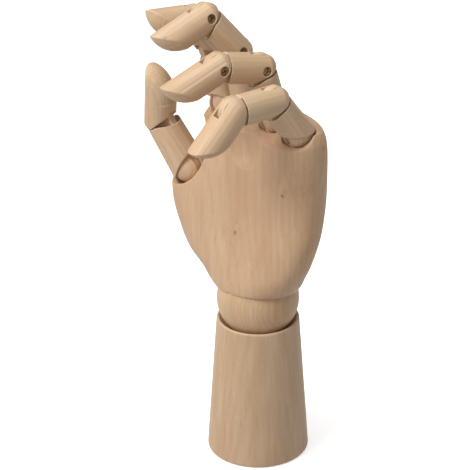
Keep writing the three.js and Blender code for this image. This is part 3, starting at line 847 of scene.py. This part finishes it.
base_wood = wood("base_beech", 3, BASE_TONES, IDENTITY, tree=(70, -40), ring=2.6, figure=0.16)
finished(eased(forearm_base(), *NET["base"]), "forearm_base", "forearm", IDENTITY, base_wood)
plug_wood = wood("plug_beech", 8, (HONEY, ROSE, ROSE), turn("X", 90))
plug = bar("z", PLUG["radius"], 0, PLUG["height"], 96, None, 0.4)
finished(sharp_below(plug), "base_plug", "forearm", IDENTITY, plug_wood)
half_bar = ANCHOR_BAR["length"] / 2
anchor_bar = bar("y", ANCHOR_BAR["radius"], -half_bar, half_bar, 32, move(0, 0, ANCHOR_BAR["height"]), 0.3)
finished(sharp_below(anchor_bar), "base_anchor_bar", "forearm", IDENTITY, PIN_STEEL)

ball_wood = wood("wrist_ball_beech", 15, BALL_TONES, wrist_frame, ring=2.2)
finished(eased(wrist_ball(), *NET["wrist"]), "wrist_ball", "wrist_ball", wrist_frame, ball_wood)
reach = WRIST_SPRING["upper_pin"] - WRIST["height"] - PALM_PIN["radius"] - WRIST_SPRING["wire"] - GAP
stem_top = wrist_frame @ Vector((0, 0, reach))
hook = ANCHOR_BAR["radius"] + WRIST_SPRING["wire"] + 0.6
wrist_coil = spring_points(
    WRIST_SPRING["coil"], WRIST_SPRING["wire"], WRIST_SPRING["turns"], stem_top,
    WRIST_SPRING["coil_top"], ANCHOR_BAR["height"], hook,
)
wrist_wire = sharp_below(swept(wrist_coil, WRIST_SPRING["wire"] * 0.9))
finished(wrist_wire, "wrist_spring", "wrist_core", IDENTITY, SPRING_STEEL)

palm_wood = wood(
    "palm_beech", 21, PALM_TONES, palm_frame, tree=(40, 130), ring=3.6, figure=0.13, pin_knots=PALM_KNOTS
)
finished(eased(palm_block(), *NET["palm"]), "palm_block", "palm", palm_frame, palm_wood)
palm_pin = bar("y", PALM_PIN["radius"], PALM_PIN["front"], PALM_PIN["back"], 32, None, 0.25)
pin_place = palm_frame @ move(0, 0, WRIST_SPRING["upper_pin"])
finished(sharp_below(palm_pin), "palm_anchor_pin", "palm", pin_place, PIN_STEEL)


def build_digit(finger, number):
    """One digit: pin, spring and ball in the palm, then its bones, each hung on the one before."""
    name = finger["name"]
    seat = palm_frame @ move(*finger["at"]) @ seat_of(finger)
    pin_at = move(0, 0, -finger["spring_depth"])
    pin = sharp_below(bar("y", ANCHOR_PIN["radius"], *finger["pin_span"], 32, pin_at, 0.2))
    finished(pin, name + "_anchor_pin", "palm", seat, PIN_STEEL)
    hook_radius = ANCHOR_PIN["radius"] + SPRING["wire"] + GAP
    knuckle = finger["ball"]
    turns = round((finger["spring_depth"] - knuckle - hook_radius - 10) / (2 * SPRING["wire"]))
    coil = spring_points(
        SPRING["coil"], SPRING["wire"], turns, (0, 0, -knuckle - 0.6),
        -knuckle - 5, -finger["spring_depth"], hook_radius,
    )
    wire = sharp_below(swept(coil, SPRING["wire"] * 0.9))
    finished(wire, name + "_spring", "palm", seat, SPRING_STEEL)

    swivel = seat @ turn("Z", finger["yaw"]) @ turn("Y", finger["tilt"])
    seed = 31 + 7 * number
    knuckle_wood = wood(name + "_knuckle_beech", seed, FINGER_TONES, swivel)
    made = eased(knuckle_ball(knuckle), *NET["knuckle"])
    finished(made, name + "_knuckle_ball", name + "_knuckle", swivel, knuckle_wood)
    half_pin = knuckle - KNUCKLE_LOOK["plug"] - GAP
    knuckle_pin = sharp_below(bar("x", KNUCKLE["pin"], -half_pin, half_pin, 32, None, 0.2))
    finished(knuckle_pin, name + "_knuckle_pin", name + "_knuckle", swivel, PIN_STEEL)

    place = swivel @ turn("X", finger["bends"][0])
    tint = 1 - 0.035 * (number % 3)
    light = (CREAM[0] * tint, CREAM[1] * tint, CREAM[2] * tint, 1)
    tones = (light, HONEY, ROSE)
    first_wood = wood(name + "_proximal_beech", seed + 1, tones, place, tree=(35 + 6 * number, 20))
    body = name + "_proximal"
    finished(eased(first_bone(finger), *NET["bone"]), body, body, place, first_wood)
    others = ["middle", "distal"] if len(finger["lengths"]) == 3 else ["distal"]
    for i, bone in enumerate(others):
        place = place @ move(0, 0, finger["lengths"][i]) @ turn("X", finger["bends"][i + 1])
        body = f"{name}_{bone}"
        made = middle_bone(finger) if bone == "middle" else end_bone(finger)
        bone_wood = wood(body + "_beech", seed + 2 + i, tones, place, tree=(28 + 9 * i, 7 * number - 24))
        finished(eased(made, *NET["bone"]), body, body, place, bone_wood)
        screw = screw_mesh(finger["radius"], finger["screws"][i])
        finished(screw, body + "_screw", body, place, BRONZED)


for number, finger in enumerate(DIGITS):
    build_digit(finger, number)

# ---------------------------------------------------------------- floor, light and camera


def studio_floor():
    bm = bmesh.new()
    bmesh.ops.create_grid(bm, x_segments=2, y_segments=2, size=6)
    made = scene_object("studio_floor", mesh_of(bm))
    made.location.z = cad_box[0][2] - 0.0002
    paper = Nodes("white_paper")
    place = paper.add("ShaderNodeTexCoord").outputs["Object"]
    tooth = paper.add("ShaderNodeTexNoise", {"Vector": place, "Scale": 900.0, "Detail": 2.0}).outputs["Fac"]
    paper.link(paper.mix(tooth, (0.93, 0.93, 0.93, 1), (0.97, 0.97, 0.97, 1)), "Base Color")
    paper.shader.inputs["Roughness"].default_value = 0.9
    paper.shader.inputs["Emission Color"].default_value = (1, 1, 1, 1)
    paper.shader.inputs["Emission Strength"].default_value = 0.5
    made.visible_diffuse = False
    made.data.materials.append(paper.material)


def softbox(name, place, aim, size, power):
    light = bpy.data.lights.new(name, "AREA")
    light.shape = "DISK"
    light.size = size
    light.energy = power
    made = bpy.data.objects.new(name, light)
    made.location = place
    made.rotation_euler = (Vector(aim) - Vector(place)).to_track_quat("-Z", "Y").to_euler()
    bpy.context.scene.collection.objects.link(made)


def camera_axes():
    """Right, up and back of the camera, with its roll."""
    a, e, roll = radians(CAMERA["azimuth"]), radians(CAMERA["elevation"]), radians(CAMERA["roll"])
    right = Vector((cos(a), sin(a), 0))
    back = Vector((sin(a) * cos(e), -cos(a) * cos(e), sin(e)))
    up = back.cross(right)
    return right * cos(roll) - up * sin(roll), up * cos(roll) + right * sin(roll), back


studio_floor()
right, up, back = camera_axes()
level_right = Vector((cos(radians(CAMERA["azimuth"])), sin(radians(CAMERA["azimuth"])), 0))
target = (Vector((0, 0, TARGET["height"])) + level_right * TARGET["right"]) * MM
lens = bpy.data.cameras.new("photo_camera")
lens.sensor_width = 36
lens.lens = CAMERA["lens"]
lens.clip_start = 0.05
lens.clip_end = 50
camera = bpy.data.objects.new("photo_camera", lens)
camera.matrix_world = Matrix.Translation(target + back * CAMERA["distance"] * MM) @ basis(right, up, back)
bpy.context.scene.collection.objects.link(camera)
bpy.context.scene.camera = camera

centre = Vector((0, 0, 0.15))
softbox("key_left", centre - level_right * 1.5 + back * 1.0 + Vector((0, 0, 1.0)), centre, 1.3, 35)
softbox("front_fill", centre + back * 1.9, centre, 0.9, 4)
softbox("top_soft", centre - level_right * 0.3 + Vector((0, 0, 1.7)), centre, 1.2, 13)

world = bpy.data.worlds.new("studio_world")
world.use_nodes = True
world.node_tree.nodes["Background"].inputs["Color"].default_value = (1, 1, 1, 1)
world.node_tree.nodes["Background"].inputs["Strength"].default_value = 0.33
bpy.context.scene.world = world
bpy.context.scene.view_settings.view_transform = "Standard"
